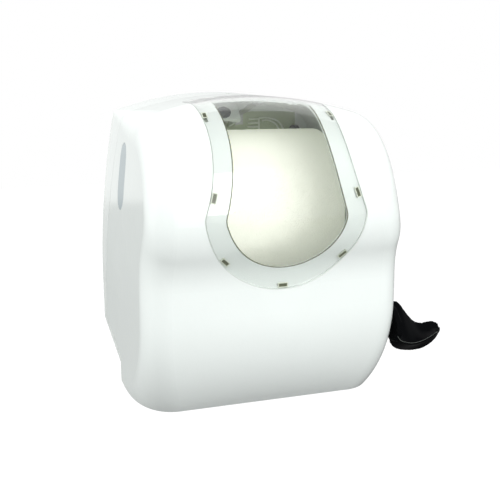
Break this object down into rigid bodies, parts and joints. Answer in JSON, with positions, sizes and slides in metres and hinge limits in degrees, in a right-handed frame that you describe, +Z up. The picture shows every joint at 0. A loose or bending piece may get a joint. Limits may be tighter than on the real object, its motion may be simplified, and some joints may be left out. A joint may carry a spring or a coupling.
{
  "type": "lever paper towel dispenser",
  "caption": "Wall-mounted towel roll dispenser: hinged cover with a clear window, lock, side lever geared to a feed roller, sprung pinch roller, roll arms and tear bar.",
  "frame": {"origin": "middle of the four wall screws, on the back plane of the chassis", "axes": "+Z up, -Y towards the user, +X to the user's right"},
  "size_m": [0.3716, 0.292, 0.343],
  "materials": {
    "cover_plastic": "moulded gloss plastic, very light grey",
    "chassis_plastic": "moulded satin plastic, light grey",
    "clear_plastic": "clear glossy moulded plastic",
    "black_plastic": "black satin plastic",
    "lever_plastic": "charcoal satin plastic",
    "bearing_plastic": "natural acetal",
    "gear_plastic": "natural nylon",
    "chromed": "bright chrome plate",
    "steel": "plain steel",
    "blade_steel": "stamped stainless steel",
    "spring_steel": "spring steel wire",
    "rubber": "grippy rubber",
    "cardboard": "spiral wound cardboard",
    "paper": "embossed towel paper"
  },
  "bodies": {
    "housing": {"back_chassis": "chassis_plastic", "cover_hinge_pins": "steel", "lock_barrel": "chromed", "lock_nut": "steel", "left_frame": "black_plastic", "right_frame": "black_plastic", "frame_screws": "steel", "front_cross_bar": "black_plastic", "cross_bar_screws": "steel", "tear_bar": "blade_steel", "tear_bar_screws": "steel", "lower_paper_guide": "black_plastic", "feed_shaft_bushes": "bearing_plastic", "stop_bumpers": "rubber", "gear_cover": "black_plastic", "gear_cover_screws": "steel", "lever_shaft_bushes": "bearing_plastic", "roll_arm_right": "black_plastic", "roll_arm_screws": "steel", "arm_pivot_pin": "steel"},
    "cover": {"front_cover": "cover_plastic", "window_panel": "clear_plastic", "side_lenses": "clear_plastic", "strike_plate": "steel", "strike_screws": "steel"},
    "lock_core": {"lock_plug": "chromed", "lock_cam": "steel", "cam_screw": "steel"},
    "lever_group": {"lever": "lever_plastic", "lever_screw": "steel", "lever_shaft": "steel", "lever_shaft_ring": "spring_steel", "sector_gear": "gear_plastic", "lever_return_spring": "spring_steel"},
    "feed_group": {"feed_shaft": "steel", "feed_roller_core": "black_plastic", "feed_roller_tyres": "rubber", "thumb_wheel": "black_plastic", "pinion_gear": "gear_plastic", "one_way_clutch": "steel", "feed_shaft_ring": "spring_steel"},
    "pinch_carriage": {"pinch_bearing_blocks": "bearing_plastic", "pinch_axle": "steel", "pinch_axle_rings": "spring_steel", "pressure_springs": "spring_steel"},
    "pinch_spinner": {"pinch_roller": "bearing_plastic"},
    "roll": {"towel_core": "cardboard", "towel_roll": "paper"},
    "hub_right": {"roll_hub_right": "black_plastic", "hub_ring_right": "spring_steel"},
    "left_arm": {"roll_arm_left": "black_plastic", "arm_spring": "spring_steel"},
    "hub_left": {"roll_hub_left": "black_plastic", "hub_ring_left": "spring_steel"}
  },
  "joints": [
    {"name": "cover_hinge", "type": "hinge", "parent": "housing", "child": "cover", "pos_m": [0, -0.125, -0.178], "axis": [1, 0, 0], "range_deg": [0, 88]},
    {"name": "lock_turn", "type": "hinge", "parent": "housing", "child": "lock_core", "pos_m": [0, -0.05, 0.132], "axis": [0, -0.7986, 0.6018], "range_deg": [0, 90]},
    {"name": "lever_pivot", "type": "hinge", "parent": "housing", "child": "lever_group", "pos_m": [0.1525, -0.096, -0.128], "axis": [1, 0, 0], "range_deg": [0, 45], "stiffness_Nm_per_rad": 0.6, "springref_deg": -28.65},
    {"name": "feed_spin", "type": "hinge", "parent": "housing", "child": "feed_group", "pos_m": [0, -0.15, -0.128], "axis": [1, 0, 0], "range_deg": [-190, 190]},
    {"name": "pinch_slide", "type": "slide", "parent": "housing", "child": "pinch_carriage", "axis": [0, 1, 0], "range_m": [0, 0.002], "stiffness_N_per_m": 2000, "springref_m": -0.002},
    {"name": "pinch_spin", "type": "hinge", "parent": "pinch_carriage", "child": "pinch_spinner", "pos_m": [0, -0.1247, -0.128], "axis": [1, 0, 0], "range_deg": [-335, 335]},
    {"name": "roll_spin", "type": "hinge", "parent": "housing", "child": "roll", "pos_m": [0, -0.106, 0.014], "axis": [1, 0, 0], "range_deg": [-35, 35]},
    {"name": "hub_right_spin", "type": "hinge", "parent": "housing", "child": "hub_right", "pos_m": [0.1, -0.106, 0.014], "axis": [1, 0, 0], "range_deg": [-35, 35]},
    {"name": "left_arm_swing", "type": "hinge", "parent": "housing", "child": "left_arm", "pos_m": [-0.113, -0.014, 0.01], "axis": [0, 0, -1], "range_deg": [0, 8], "stiffness_Nm_per_rad": 1.5, "springref_deg": -11.46},
    {"name": "hub_left_spin", "type": "hinge", "parent": "left_arm", "child": "hub_left", "pos_m": [-0.1, -0.106, 0.014], "axis": [1, 0, 0], "range_deg": [-35, 35]}
  ],
  "couplings": [
    {"joint": "feed_spin", "follows": "lever_pivot", "ratio": -4.1429},
    {"joint": "pinch_spin", "follows": "lever_pivot", "ratio": 7.3651},
    {"joint": "roll_spin", "follows": "lever_pivot", "ratio": 0.6869},
    {"joint": "hub_right_spin", "follows": "lever_pivot", "ratio": 0.6869},
    {"joint": "hub_left_spin", "follows": "lever_pivot", "ratio": 0.6869}
  ]
}
